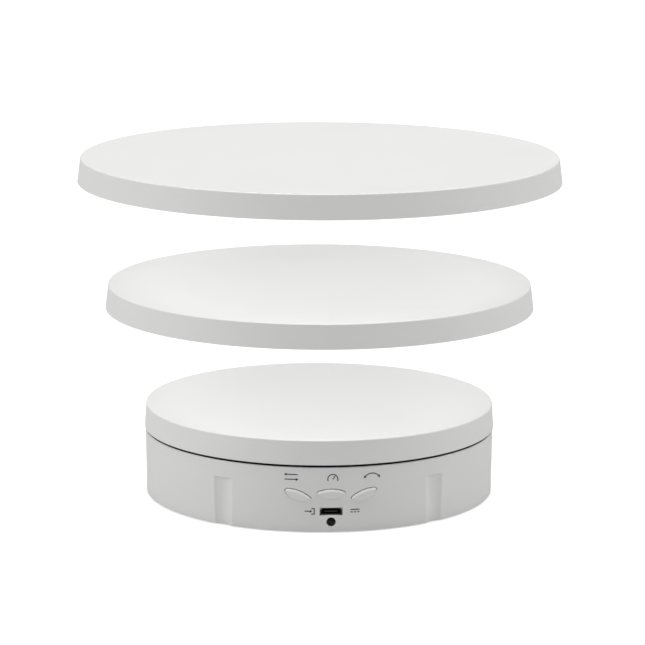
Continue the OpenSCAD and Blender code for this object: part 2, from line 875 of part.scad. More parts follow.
// A wheel on mesh level 0 to 2, with its pinion reaching up through the next level
module compound_gear(p, level, teeth, wheel_module, pinion_module, phase) {
    color("ivory") at_motor(p) translate([0, 0, gear_floor + gear_lift + level * gear_step]) difference() {
        union() {
            rotate([0, 0, phase]) gear(teeth[0], wheel_module, gear_t);
            gear(teeth[1], pinion_module, gear_step + gear_t);
        }
        translate([0, 0, -eps]) cylinder(r = pin_r + run_gap, h = gear_step + 2 * gear_t);
    }
}

module first_gear() compound_gear(first_at, 0, first_teeth, fine_module, coarse_module, first_phase);
module second_gear() compound_gear(second_at, 1, second_teeth, coarse_module, coarse_module, second_phase);
module third_gear() compound_gear(third_at, 2, third_teeth, coarse_module, fine_module, third_phase);

module output_gear() {
    color("ivory") translate([0, 0, gear_floor + gear_lift + 3 * gear_step]) difference() {
        rotate([0, 0, output_phase]) gear(output_teeth, fine_module, gear_t);
        translate([0, 0, -eps]) cylinder(r = shaft_r, h = 2 * gear_t);
    }
}

module output_shaft() {
    round_z = gear_floor + gear_lift - 0.1 + 3 * gear_step;
    color("silver") {
        translate([0, 0, gear_plate_z]) cylinder(r = pivot_r, h = round_z - gear_plate_z + eps);
        translate([0, 0, round_z]) cylinder(r = shaft_r, h = shaft_flat_z - round_z);
        translate([0, 0, shaft_flat_z - eps]) double_flat(0, shaft_top - shaft_flat_z + eps);
    }
}

// ---------- Drive and bearing ----------

// The shaft's end: a round bar with two flats, grown by play on every side
module double_flat(play, h) {
    intersection() {
        cylinder(r = shaft_r + play, h = h);
        translate([-shaft_flats / 2 - play, -2 * shaft_r, 0]) cube([shaft_flats + 2 * play, 4 * shaft_r, h]);
    }
}

module drive_hub() {
    neck_z = turret_top + hub_lift;
    color("dimgray") difference() {
        union() {
            translate([0, 0, hub_seat - hub_flange_t]) cylinder(r = hub_flange_r, h = hub_flange_t);
            translate([0, 0, neck_z]) cylinder(r = hub_neck_r, h = hub_seat - neck_z);
            translate([0, 0, hub_seat - eps]) cylinder(r = hub_spigot_r, h = hub_spigot_h);
        }
        translate([0, 0, turret_top]) {
            double_flat(hub_play, small_top);
            around(hub_screw_count, hub_screw_circle_r) cylinder(r = hub_screw_r + 0.25, h = small_top);
        }
    }
}

module hub_screws() {
    color("silver") around(hub_screw_count, hub_screw_circle_r) translate([0, 0, hub_seat - hub_flange_t])
        pan_screw(2 * hub_screw_r, 1.2, hub_screw_r, hub_screw_length);
}

module race(flip) {
    rotate_extrude() difference() {
        translate([ball_circle_r - race_w / 2, flip > 0 ? race_gap : -race_gap - race_t])
            square([race_w, race_t]);
        translate([ball_circle_r, flip * (ball_gap - groove_play)]) circle(r = ball_r + groove_play);
    }
}

module lower_race() {
    color("silver") translate([0, 0, ball_z]) race(-1);
}

module upper_race() {
    color("silver") translate([0, 0, ball_z]) race(1);
}

module thrust_balls() {
    color("silver") around(ball_count, ball_circle_r) translate([0, 0, ball_z]) sphere(r = ball_r);
}

module ball_cage() {
    color("ivory") translate([0, 0, ball_z - cage_t / 2]) difference() {
        ring(ball_circle_r + cage_half_w, ball_circle_r - cage_half_w, cage_t);
        around(ball_count, ball_circle_r)
            translate([0, 0, -eps]) cylinder(r = ball_r + groove_play, h = cage_t + 1);
    }
}

housing();
bottom_cover();
rubber_feet();
cover_screws();
control_board();
board_parts();
lead_socket();
lead_plug();
motor_leads();
switch_bodies();
usb_shell();
usb_tongue();
infrared_eye();
direction_key();
speed_key();
angle_key();
direction_plunger();
speed_plunger();
angle_plunger();
motor_can();
motor_flange();
motor_cap();
motor_screws();
shaft_bush();
coil_bobbins();
coil_windings();
stator_poles();
gear_plate();
gear_pins();
rotor_magnet();
rotor_pinion();
first_gear();
second_gear();
third_gear();
output_gear();
output_shaft();
drive_hub();
hub_screws();
lower_race();
thrust_balls();
ball_cage();
upper_race();
small_plate();
mid_plate();
large_plate();
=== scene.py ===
"""A motorised display turntable and its two loose plates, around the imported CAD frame."""
import json
import math

import bmesh
import bpy
from mathutils import Matrix, Vector


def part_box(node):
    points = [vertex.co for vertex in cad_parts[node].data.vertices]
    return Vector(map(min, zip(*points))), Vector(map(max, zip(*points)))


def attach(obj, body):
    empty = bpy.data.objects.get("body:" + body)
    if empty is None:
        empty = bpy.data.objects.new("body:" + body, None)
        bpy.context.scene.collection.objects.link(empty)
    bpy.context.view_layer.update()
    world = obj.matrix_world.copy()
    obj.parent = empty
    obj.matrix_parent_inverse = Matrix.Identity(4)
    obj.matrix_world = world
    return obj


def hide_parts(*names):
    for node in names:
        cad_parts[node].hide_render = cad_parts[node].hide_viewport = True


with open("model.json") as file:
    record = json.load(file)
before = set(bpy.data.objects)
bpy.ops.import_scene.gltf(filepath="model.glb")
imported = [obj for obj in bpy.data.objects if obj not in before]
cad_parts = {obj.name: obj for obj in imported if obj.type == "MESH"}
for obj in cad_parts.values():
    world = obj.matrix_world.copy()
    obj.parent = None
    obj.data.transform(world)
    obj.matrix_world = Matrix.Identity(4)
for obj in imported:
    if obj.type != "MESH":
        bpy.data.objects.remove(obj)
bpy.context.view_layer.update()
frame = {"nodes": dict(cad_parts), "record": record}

MM = 0.001
NODES = frame["nodes"]
RECORD = frame["record"]
scene = bpy.context.scene

# Camera: it stands back from the spindle axis, a little to the left of the controls, and looks down
CAMERA_AZIMUTH = -3.6
CAMERA_PITCH = 11.65
CAMERA_ROLL = 0.22
CAMERA_HEADING = 0.36
CAMERA_DISTANCE = 1.3
CAMERA_HEIGHT = 0.339
CAMERA_ASIDE = -0.0069
CAMERA_LENS = 177.65

# Light: what reaches the object, and what shows behind it
SKY_STRENGTH = 0.15
BACKDROP_STRENGTH = 1.0
FLOOR_REACH = 8.0
FLOOR_GREY = 0.55
FLOOR_CAST = 0.06
FLOOR_SEEN = 0.6

# Suns, each as azimuth, elevation, strength and spread, with the angles in degrees
TOP_SUN = (0, 90, 0.42, 25)
PASSING_SUN = (0, 90, 1.5, 25)
LEFT_SUN = (-82, 37, 1.18, 40)
RIGHT_SUN = (82, 37, 0.98, 40)

# Housing and keys, in millimetres, as the CAD draws them
HOUSING_R = 72.7
HOUSING_TAPER = 0.4
HOUSING_BEVEL = 0.3
RIM_H = 10.0
SEAM_H = 1.0
SOCKET_HALF_W = 4.6
SOCKET_HALF_H = 1.7
KEY_WIDTH = 11.6
KEY_PITCH = 13.4
KEY_Z = 16.7
OUTER_KEY_DROP = 0.6
KEY_TILT = 19.0
KEY_TOP_SAGITTA = 1.25
KEY_LOW_SAGITTA = 2.7
KEY_SHARP_TIP_R = 0.4
KEY_BLUNT_TIP_R = 1.0
KEY_OUTER_R = 73.3
KEY_LIP = 0.7
KEY_LIP_R = 69.7
KEY_BACK_R = 69.0
KEY_STEM_R = 1.5
KEY_STEM_LENGTH = 3.0
KEY_STEM_ROOT = 0.4
KEY_STEM_BEVEL = 0.2

# A key's face stands proud, and rolls over wide (width, depth) along its upper edge and tightly below.
# Between these slopes of the edge, from 1 facing up to -1 facing down, one roll turns into the other.
KEY_PROUD_TOP = 0.74
KEY_PROUD_LOW = 0.5
KEY_ROLL_TOP = (0.8, 0.66)
KEY_ROLL_LOW = (0.12, 0.08)
KEY_ROLL_POWER = 1.5
KEY_ROLL_TURN = (-0.3, 0.5)

# Signs printed on the wall
SIGN_STROKE = 0.42
SIGN_INK_T = 0.03
SIGN_Z = 23.0
DIRECTION_SIGN_X = -15.9
SPEED_SIGN_X = 0.6
ANGLE_SIGN_X = 16.4
POWER_IN_SIGN_X = -8.5
DIRECT_CURRENT_SIGN_X = 9.6
ARROW_LENGTH = 1.1
ARROW_WIDTH = 1.3

# The seam under the small plate, in metres, and the shade in it and round the socket
SEAM_FADE = 0.3 * MM
SEAM_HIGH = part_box("small_plate")[1].z - RIM_H * MM
SEAM_LOW = SEAM_HIGH - SEAM_H * MM
SEAM_R = (HOUSING_R - HOUSING_BEVEL) * MM
SOCKET_FADE = (0.3 * MM, 0.15 * MM)
SHADE = (0.02, 0.02, 0.02, 1)

# The tapered part of the housing's wall, in millimetres
WALL_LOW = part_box("housing")[0].z / MM
WALL_HIGH = SEAM_LOW / MM - HOUSING_BEVEL

# How far a softened edge's normal leans, as a cosine, where the rubbed edge and its painted highlight
# begin and where they are full
WEAR_AND_HIGHLIGHT_BEGINS = 0.995
WEAR_AND_HIGHLIGHT_FULL = 0.85


def turn(degrees, axis):
    return Matrix.Rotation(math.radians(degrees), 4, axis)


def mix(a, b, share):
    return a + (b - a) * share


# ---------- Camera, light and floor ----------

def make_camera():
    data = bpy.data.cameras.new("camera")
    data.lens = CAMERA_LENS
    data.sensor_width = 36
    data.clip_start = 0.05
    data.clip_end = 50
    camera = bpy.data.objects.new("camera", data)
    scene.collection.objects.link(camera)
    stand = Matrix.Translation((CAMERA_ASIDE, -CAMERA_DISTANCE, CAMERA_HEIGHT))
    aim = turn(-CAMERA_HEADING, "Z") @ turn(90 - CAMERA_PITCH, "X") @ turn(CAMERA_ROLL, "Z")
    camera.matrix_world = turn(CAMERA_AZIMUTH, "Z") @ stand @ aim
    scene.camera = camera


def soft_sun(name, azimuth, elevation, strength, spread):
    """A sun that shines from an azimuth (0 is from -Y, 90 from +X) and a height above the horizon."""
    data = bpy.data.lights.new(name, "SUN")
    data.energy = strength
    data.angle = math.radians(spread)
    sun = bpy.data.objects.new(name, data)
    scene.collection.objects.link(sun)
    sun.matrix_world = turn(azimuth, "Z") @ turn(90 - elevation, "X")
    return sun


def let_through(sun, names):
    """The sun's light passes through these nodes, so the plates beneath are as bright as the top one."""
    passed = bpy.data.collections.new("light_passes")
    for name in names:
        passed.objects.link(NODES[name])
    for row in passed.collection_objects:
        row.light_linking.link_state = "EXCLUDE"
    sun.light_linking.blocker_collection = passed


def shine(tree, socket, cast, seen):
    """Sets a strength of light: cast is what reaches the object, and seen is what shows behind it."""
    path = tree.nodes.new("ShaderNodeLightPath")
    strength = tree.nodes.new("ShaderNodeMapRange")
    strength.inputs["To Min"].default_value = cast
    strength.inputs["To Max"].default_value = seen
    tree.links.new(path.outputs["Is Camera Ray"], strength.inputs["Value"])
    tree.links.new(strength.outputs["Result"], socket)


def make_sky():
    """Even light from all round, and a white backdrop wherever the camera sees past the floor."""
    world = bpy.data.worlds.new("studio")
    scene.world = world
    world.use_nodes = True
    tree = world.node_tree
    sky = tree.nodes["Background"]
    sky.inputs["Color"].default_value = (1, 1, 1, 1)
    shine(tree, sky.inputs["Strength"], SKY_STRENGTH, BACKDROP_STRENGTH)


def make_light():
    make_sky()
    soft_sun("top_softbox", *TOP_SUN)
    through = soft_sun("passing_softbox", *PASSING_SUN)
    let_through(through, ("mid_plate", "large_plate"))
    soft_sun("left_softbox", *LEFT_SUN)
    soft_sun("right_softbox", *RIGHT_SUN)
    scene.view_settings.view_transform = "Standard"


def make_floor():
    mesh = bpy.data.meshes.new("floor")
    reach = FLOOR_REACH
    corners = [(-reach, -reach, 0), (reach, -reach, 0), (reach, reach, 0), (-reach, reach, 0)]
    mesh.from_pydata(corners, [], [(0, 1, 2, 3)])
    floor = bpy.data.objects.new("floor", mesh)
    scene.collection.objects.link(floor)
    material = bpy.data.materials.new("floor_paper")
    material.use_nodes = True
    shader = material.node_tree.nodes["Principled BSDF"]
    shader.inputs["Base Color"].default_value = (FLOOR_GREY, FLOOR_GREY, FLOOR_GREY, 1)
    shader.inputs["Roughness"].default_value = 0.9
    shader.inputs["Emission Color"].default_value = (1, 1, 1, 1)
    shine(material.node_tree, shader.inputs["Emission Strength"], FLOOR_CAST, FLOOR_SEEN)
    mesh.materials.append(material)


# ---------- Materials ----------

MIX_FACTOR, MIX_A, MIX_B, MIX_OUT = 0, 6, 7, 2


class Finish:
    """One procedural material. Sizes are in millimetres and places in the object's own coordinates."""

    def __init__(self, name):
        self.material = bpy.data.materials.new(name)
        self.material.use_nodes = True
        self.tree = self.material.node_tree
        self.shader = self.tree.nodes["Principled BSDF"]
        self.place = self.add("ShaderNodeTexCoord").outputs["Object"]

    def add(self, kind, inputs=None, **settings):
        node = self.tree.nodes.new(kind)
        for key, value in settings.items():
            setattr(node, key, value)
        for key, value in (inputs or {}).items():
            self.feed(node.inputs[key], value)
        return node

    def feed(self, socket, value):
        if isinstance(value, bpy.types.NodeSocket):
            self.tree.links.new(value, socket)
        else:
            socket.default_value = value

    def fix(self, name, value):
        self.shader.inputs[name].default_value = value

    def drive(self, name, value):
        self.tree.links.new(value, self.shader.inputs[name])

    def math(self, operation, *values):
        return self.add("ShaderNodeMath", dict(enumerate(values)), operation=operation).outputs[0]

    def vector_math(self, operation, *values):
        return self.add("ShaderNodeVectorMath", dict(enumerate(values)), operation=operation)

    def parts(self):
        split = self.add("ShaderNodeSeparateXYZ", {0: self.place})
        return split.outputs[0], split.outputs[1], split.outputs[2]

    def stretched(self, along):
        """Coordinates pulled out along an axis, for brushed lines."""
        scale = {"X": (0.02, 1, 1), "Y": (1, 0.02, 1), "Z": (1, 1, 0.02)}[along]
        return self.vector_math("MULTIPLY", self.place, scale).outputs[0]

    def turned(self, centre):
        """Coordinates that only change outwards and upwards, for the rings that a lathe leaves."""
        shifted = self.vector_math("SUBTRACT", self.place, centre).outputs[0]
        flat = self.vector_math("MULTIPLY", shifted, (1, 1, 0)).outputs[0]
        radius = self.vector_math("LENGTH", flat).outputs["Value"]
        return self.add("ShaderNodeCombineXYZ", {0: radius, 2: self.parts()[2]}).outputs[0]

    def noise(self, size, detail=2.0, place=None):
        inputs = {"Vector": place or self.place, "Scale": 1 / (size * MM), "Detail": detail}
        return self.add("ShaderNodeTexNoise", inputs).outputs["Fac"]

    def span(self, value, low, high, start=0.0, end=1.0):
        inputs = {"Value": value, "From Min": low, "From Max": high, "To Min": start, "To Max": end}
        return self.add("ShaderNodeMapRange", inputs).outputs["Result"]

    def shades(self, value, *stops):
        """A colour ramp through (position, colour) stops."""
        ramp = self.add("ShaderNodeValToRGB", {0: value})
        elements = ramp.color_ramp.elements
        while len(elements) < len(stops):
            elements.new(0.5)
        for element, (position, colour) in zip(elements, stops):
            element.position = position
            element.color = (*colour, 1)
        return ramp.outputs["Color"]

    def blend(self, share, first, second):
        inputs = {MIX_FACTOR: share, MIX_A: first, MIX_B: second}
        return self.add("ShaderNodeMix", inputs, data_type="RGBA").outputs[MIX_OUT]

    def mottled(self, colour, amount, size):
        """The colour, drifting a little lighter and darker over patches."""
        low = [max(c * (1 - amount), 0) for c in colour]
        high = [min(c * (1 + amount), 1) for c in colour]
        return self.shades(self.noise(size, 3), (0.3, low), (0.7, high))

    def softened(self, radius):
        """The surface's normal with its sharp edges rounded off by radius."""
        return self.add("ShaderNodeBevel", {"Radius": radius * MM}, samples=4).outputs["Normal"]

    def edges(self, soft):
        """1 on the outermost bit of a sharp edge, broken up as handling wears it, and 0 elsewhere. It
        marks both the rubbed edge and where a painted highlight lightens it.
        """
        true = self.add("ShaderNodeNewGeometry").outputs["Normal"]
        lean = self.vector_math("DOT_PRODUCT", soft, true).outputs["Value"]
        line = self.span(lean, WEAR_AND_HIGHLIGHT_BEGINS, WEAR_AND_HIGHLIGHT_FULL)
        return self.math("MULTIPLY", line, self.span(self.noise(3, 3), 0.35, 0.65))

    def bump(self, height, depth, normal=None):
        inputs = {"Height": height, "Distance": depth * MM, "Strength": 1.0}
        node = self.add("ShaderNodeBump", inputs)
        if normal:
            self.feed(node.inputs["Normal"], normal)
        return node.outputs["Normal"]


def surface(name, colour, rough=0.45, spread=0.06, patch=18.0, mottle=0.02, grain=0.15, depth=0.003,
            soft=0.15, wear_and_highlight=0.04, metal=0.0, brushed=None, turned=None, gloss=0.5):
    """A finish with grain, uneven roughness and drifting colour, smoother on rubbed edges and lighter
    there, the lighter colour partly real rubbing and partly a painted edge highlight.
    """
    look = Finish(name)
    lines = look.stretched(brushed) if brushed else look.turned(turned) if turned else None
    normal = look.softened(soft)
    edge_wear_and_highlight = look.edges(normal)
    # Edges lighter in colour: partly rubbed by handling, partly a painted highlight
    rubbed_and_highlit = [min(c * (1 + wear_and_highlight) + wear_and_highlight * 0.2, 1) for c in colour]
    body = look.mottled(colour, mottle, patch)
    look.drive("Base Color", look.blend(edge_wear_and_highlight, body, (*rubbed_and_highlit, 1)))
    uneven = look.span(look.noise(patch * 0.6, 4), 0.3, 0.7, rough - spread, rough + spread)
    if lines:
        streaks = look.span(look.noise(grain, 2, lines), 0.3, 0.7, -spread, spread)
        uneven = look.math("ADD", uneven, streaks)
    look.drive("Roughness", look.math("SUBTRACT", uneven, look.math("MULTIPLY", edge_wear_and_highlight, 0.1)))
    look.drive("Normal", look.bump(look.noise(grain, 3, lines), depth, normal))
    look.fix("Metallic", metal)
    look.fix("Specular IOR Level", gloss)
    return look


SOFT_STEEL = {"metal": 1.0, "rough": 0.32, "mottle": 0.04, "patch": 5.0, "grain": 0.06,
              "depth": 0.001}
MOTOR_AXIS = (0, -8 * MM, 0)
FINISHES = {
    "white_shell": {"rough": 0.42, "spread": 0.02, "grain": 0.16, "depth": 0.004, "mottle": 0.004,
                    "patch": 40.0, "soft": 0.2},
    "cover_shell": {"rough": 0.58, "grain": 0.3, "depth": 0.012, "mottle": 0.012, "patch": 30.0},
    "key_plastic": {"rough": 0.36, "grain": 0.16, "depth": 0.002, "mottle": 0.008, "patch": 6.0,
                    "soft": 0.08},
    "foot_rubber": {"rough": 0.85, "grain": 0.25, "depth": 0.02, "mottle": 0.25, "patch": 4.0,
                    "wear_and_highlight": 0.3},
    "screw_steel": {**SOFT_STEEL, "rough": 0.38, "grain": 0.12},
    "race_steel": {**SOFT_STEEL, "rough": 0.14, "spread": 0.04, "turned": (0, 0, 0)},
    "can_steel": {**SOFT_STEEL, "rough": 0.3, "turned": MOTOR_AXIS},
    "switch_steel": {**SOFT_STEEL, "brushed": "X"},
    "socket_steel": {**SOFT_STEEL, "rough": 0.4, "brushed": "X", "soft": 0.05, "wear_and_highlight": 0.01},
    "sintered_bronze": {**SOFT_STEEL, "rough": 0.5, "grain": 0.1, "depth": 0.01, "mottle": 0.12},
    "ferrite": {"rough": 0.7, "grain": 0.08, "depth": 0.01, "mottle": 0.2, "patch": 2.0},
    "gear_nylon": {"rough": 0.5, "grain": 0.1, "depth": 0.002, "patch": 6.0, "soft": 0.04},
    "connector_nylon": {"rough": 0.5, "grain": 0.1, "depth": 0.003, "patch": 6.0, "soft": 0.1},
    "hub_plastic": {"rough": 0.5, "grain": 0.15, "depth": 0.006, "patch": 8.0, "mottle": 0.1},
    "blue_plastic": {"rough": 0.3, "grain": 0.2, "depth": 0.003, "patch": 8.0, "mottle": 0.06},
    "chip_plastic": {"rough": 0.62, "grain": 0.06, "depth": 0.004, "patch": 2.0, "mottle": 0.15,
                     "soft": 0.05},
    "eye_lens": {"rough": 0.1, "spread": 0.02, "grain": 1.2, "depth": 0.0001, "mottle": 0.02,
                 "wear_and_highlight": 0.01, "soft": 0.03, "gloss": 0.2},
    "sign_ink": {"rough": 0.6, "grain": 0.09, "depth": 0.004, "patch": 0.8, "mottle": 0.2,
                 "wear_and_highlight": 0.5, "soft": 0.01},
}


def slot_colour(slot):
    return next(row["base_color"][:3] for row in RECORD["materials"] if row["slot"] == slot)


def lead_insulation():
    """Each lead has its own colour, by its place from left to right."""
    look = Finish("lead_insulation")
    colours = [(0.02, 0.08, 0.5), (0.85, 0.25, 0.35), (0.85, 0.6, 0.05),
               (0.8, 0.22, 0.03), (0.6, 0.02, 0.02)]
    across = look.span(look.parts()[0], -3.5 * MM, 3.5 * MM)
    ramp = look.shades(across, *[(i / len(colours), c) for i, c in enumerate(colours)])
    ramp.node.color_ramp.interpolation = "CONSTANT"
    look.drive("Base Color", ramp)
    look.drive("Roughness", look.span(look.noise(1.5, 3), 0.3, 0.7, 0.34, 0.5))
    look.drive("Normal", look.bump(look.noise(0.3), 0.006))
    return look.material


def copper_wire():
    """Fine enamelled turns, one above another, with painted shade in the crevices between them."""
    look = Finish("copper_wire")
    inputs = {"Vector": look.place, "Scale": 1 / (0.6 * MM), "Distortion": 0.3}
    turns = look.add("ShaderNodeTexWave", inputs, bands_direction="Z").outputs["Fac"]
    bright = slot_colour("copper_wire")
    # Darker between the turns: painted shade in the crevices
    look.drive("Base Color", look.shades(turns, (0.0, (0.22, 0.07, 0.03)), (1.0, bright)))
    look.drive("Roughness", look.span(look.noise(0.8, 3), 0.3, 0.7, 0.22, 0.38))
    look.drive("Normal", look.bump(turns, 0.05))
    look.fix("Metallic", 0.9)
    return look.material


def board_laminate():
    """Solder mask over copper tracks, which show a little lighter and stand up slightly."""
    look = Finish("board_laminate")
    cells = look.add("ShaderNodeTexVoronoi", {"Vector": look.place, "Scale": 1 / (3.2 * MM)},
                     feature="DISTANCE_TO_EDGE", distance="MANHATTAN").outputs["Distance"]
    track = look.span(cells, 0.1, 0.06)
    mask = slot_colour("board_laminate")
    over_copper = (mask[0] * 2, mask[1] * 1.7, mask[2] * 1.6, 1)
    look.drive("Base Color", look.blend(track, (*mask, 1), over_copper))
    look.drive("Roughness", look.span(look.noise(2.0, 3), 0.3, 0.7, 0.28, 0.4))
    look.drive("Normal", look.bump(track, 0.03))
    return look.material


def seam_shade(look):
    """The faces deep in the seam under the small plate stay dark, as in the shade of a narrow gap."""
    x, y, z = look.parts()
    squares = look.math("ADD", look.math("MULTIPLY", x, x), look.math("MULTIPLY", y, y))
    outwards = look.math("POWER", squares, 0.5)
    inside = look.span(outwards, SEAM_R, SEAM_R - SEAM_FADE)
    low = look.span(z, SEAM_LOW - SEAM_FADE, SEAM_LOW - SEAM_FADE * 0.5)
    high = look.span(z, SEAM_HIGH + SEAM_FADE, SEAM_HIGH + SEAM_FADE * 0.5)
    shade = look.math("MULTIPLY", inside, look.math("MULTIPLY", low, high))
    darken(look, shade)


def socket_shade(look):
    """The cut faces of the power socket's opening stay dark, as in the shade of a narrow slot."""
    x, y, z = look.parts()
    low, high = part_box("usb_shell")
    aside = look.math("ABSOLUTE", x)
    above = look.math("ABSOLUTE", look.math("SUBTRACT", z, (low.z + high.z) / 2))
    across = look.math("LESS_THAN", aside, SOCKET_HALF_W * MM)
    upwards = look.math("LESS_THAN", above, SOCKET_HALF_H * MM)
    in_front = look.math("LESS_THAN", y, 0.0)
    behind = look.span(y, *[low.y - fade for fade in SOCKET_FADE])
    inwards = look.math("MULTIPLY", in_front, behind)
    darken(look, look.math("MULTIPLY", inwards, look.math("MULTIPLY", across, upwards)))


def darken(look, share):
    """Shades the finish's colour by a share from 0 to 1."""
    colour = look.shader.inputs["Base Color"]
    look.drive("Base Color", look.blend(share, colour.links[0].from_socket, SHADE))


def make_materials():
    made = {}
    for slot, values in FINISHES.items():
        made[slot] = surface(slot, slot_colour(slot), **values).material
    made.update({f.__name__: f() for f in (lead_insulation, copper_wire, board_laminate)})
    shaded = surface("white_shell_seam", slot_colour("white_shell"), **FINISHES["white_shell"])
    seam_shade(shaded)
    socket_shade(shaded)
    for row in RECORD["subparts"]:
        mesh = NODES[row["node"]].data
        mesh.materials.clear()
        at_seam = row["node"] in ("housing", "small_plate")
        mesh.materials.append(shaded.material if at_seam else made[row["material_slot"]])
    return made


# ---------- Keys ----------

def arc(centre, radius, start, end, steps):
    """Points along an arc, without its last one."""
    angles = [mix(start, end, i / steps) for i in range(steps)]
    return [centre + radius * Vector((math.cos(a), math.sin(a))) for a in angles]


def circles_meet(p, rp, q, rq):
    """Where two circles meet, on the right of the way from p to q."""
    way = (q - p).normalized()
    gap = (q - p).length
    along = (rp * rp - rq * rq + gap * gap) / (2 * gap)
    aside = math.sqrt(rp * rp - along * along)
    return p + along * way + aside * Vector((way.y, -way.x))


def heading(start, end):
    return math.atan2(end.y - start.y, end.x - start.x)


def key_outline(extra, left_tip, right_tip, long_steps=28, tip_steps=8):
    """A key's outline, grown by extra: upper arc, left tip, lower arc and right tip.

    It starts halfway round the right tip.
    """
    half = KEY_WIDTH / 2
    top_r = (half ** 2 + KEY_TOP_SAGITTA ** 2) / (2 * KEY_TOP_SAGITTA)
    low_r = (half ** 2 + KEY_LOW_SAGITTA ** 2) / (2 * KEY_LOW_SAGITTA)
    top_at = Vector((0, KEY_TOP_SAGITTA - top_r))
    low_at = Vector((0, low_r - KEY_LOW_SAGITTA))
    right_at = circles_meet(top_at, top_r - right_tip, low_at, low_r - right_tip)
    left_at = circles_meet(top_at, top_r - left_tip, low_at, low_r - left_tip)
    left_at.x = -left_at.x
    full = 2 * math.pi
    top_right, top_left = heading(top_at, right_at), heading(top_at, left_at)
    low_left, low_right = heading(low_at, left_at) + full, heading(low_at, right_at) + full
    points = arc(top_at, top_r + extra, top_right, top_left, long_steps)
    points += arc(left_at, left_tip + extra, top_left, low_left, tip_steps)
    points += arc(low_at, low_r + extra, low_left, low_right, long_steps)
    points += arc(right_at, right_tip + extra, low_right, top_right + full, tip_steps)
    half_tip = tip_steps // 2
    return points[-half_tip:] + points[:-half_tip]


def rolled_edge(distance, width, depth):
    """How far a soft bevel has dropped at this distance inside its edge."""
    return depth * max(1 - distance / width, 0) ** KEY_ROLL_POWER


def face_height(point, outline):
    """How far a key's face stands proud of the wall: most near its upper edge, which rolls over."""
    count = len(outline)
    near = min(range(count), key=lambda i: (outline[i] - point).length_squared)
    side = outline[(near + 1) % count] - outline[near - 1]
    upness = Vector((side.y, -side.x)).normalized().y
    low_roll, top_roll = KEY_ROLL_TURN
    share = min(max((upness - low_roll) / (top_roll - low_roll), 0), 1)
    height = (point.y + KEY_LOW_SAGITTA) / (KEY_TOP_SAGITTA + KEY_LOW_SAGITTA)
    proud = mix(KEY_PROUD_LOW, KEY_PROUD_TOP, height)
    width, depth = (mix(low, top, share) for low, top in zip(KEY_ROLL_LOW, KEY_ROLL_TOP))
    return proud - rolled_edge((outline[near] - point).length, width, depth)


def wall_radius(z):
    """Radius of the housing's tapered wall, in millimetres."""
    share = (z - WALL_LOW) / (WALL_HIGH - WALL_LOW)
    return HOUSING_R - HOUSING_TAPER * (1 - share)


def on_cylinder(x, z, radius):
    return Vector((x, -math.sqrt(radius ** 2 - x ** 2), z)) * MM


class Key:
    """One lens-shaped key, counted -1, 0 or 1 from the left: crowned cap, lip behind the wall and stem."""

    def __init__(self, side):
        self.side = side
        left_tip = KEY_BLUNT_TIP_R if side < 0 else KEY_SHARP_TIP_R
        right_tip = KEY_BLUNT_TIP_R if side > 0 else KEY_SHARP_TIP_R
        self.tips = (left_tip, right_tip)
        self.spin = math.radians(side * KEY_TILT)
        self.centre = Vector((side * KEY_PITCH, KEY_Z - abs(side) * OUTER_KEY_DROP))
        self.bm = bmesh.new()

    def placed(self, point, radius):
        turned = Matrix.Rotation(self.spin, 2) @ point + self.centre
        return on_cylinder(turned.x, turned.y, radius)

    def loop(self, outline, radius):
        return [self.bm.verts.new(self.placed(p, radius)) for p in outline]

    def bridge(self, first, second):
        count = len(first)
        for i in range(count):
            j = (i + 1) % count
            self.bm.faces.new((first[i], first[j], second[j], second[i]))

    def cap(self, outline, rows=14):
        """The crowned face, in strips that lie closer together towards its lower and upper edge."""
        half = len(outline) // 2
        upper = [outline[i] for i in range(half + 1)]
        lower = [outline[-i] for i in range(half + 1)]
        grid = {}
        for i in range(half + 1):
            for j in range(rows + 1):
                share = (1 - math.cos(math.pi * j / rows)) / 2
                point = lower[i].lerp(upper[i], share)
                height = wall_radius(self.centre.y) + face_height(point, outline)
                grid[i, j] = self.bm.verts.new(self.placed(point, min(height, KEY_OUTER_R)))
        for i in range(half):
            for j in range(rows):
                self.bm.faces.new((grid[i, j], grid[i, j + 1], grid[i + 1, j + 1], grid[i + 1, j]))
        edge = [grid[i, rows] for i in range(half + 1)]
        return edge + [grid[half - i, 0] for i in range(1, half)]

    def stem(self, sides=32):
        front = self.placed(Vector((0, -KEY_LOW_SAGITTA / 3)), KEY_BACK_R)
        tip = KEY_STEM_LENGTH
        tip_r = KEY_STEM_R - KEY_STEM_BEVEL
        angles = [2 * math.pi * k / sides for k in range(sides)]
        rings = []
        for y, radius in ((-KEY_STEM_ROOT, KEY_STEM_R), (tip - KEY_STEM_BEVEL, KEY_STEM_R), (tip, tip_r)):
            offsets = [Vector((radius * math.cos(a), y, radius * math.sin(a))) * MM for a in angles]
            rings.append([self.bm.verts.new(front + offset) for offset in offsets])
        for first, second in zip(rings, rings[1:]):
            self.bridge(first, second)
        self.bm.faces.new(rings[0])
        self.bm.faces.new(rings[-1])

    def build(self, name):
        outline = key_outline(0, *self.tips)
        lip = key_outline(KEY_LIP, *self.tips)
        back = self.loop(lip, KEY_BACK_R)
        front = self.loop(lip, KEY_LIP_R)
        root = self.loop(outline, KEY_LIP_R)
        edge = self.cap(outline)
        self.bridge(back, front)
        self.bridge(front, root)
        self.bridge(root, edge)
        self.bm.faces.new(back)
        self.stem()
        bmesh.ops.remove_doubles(self.bm, verts=self.bm.verts, dist=1e-7)
        bmesh.ops.recalc_face_normals(self.bm, faces=self.bm.faces)
        return finish_mesh(self.bm, name, 35)


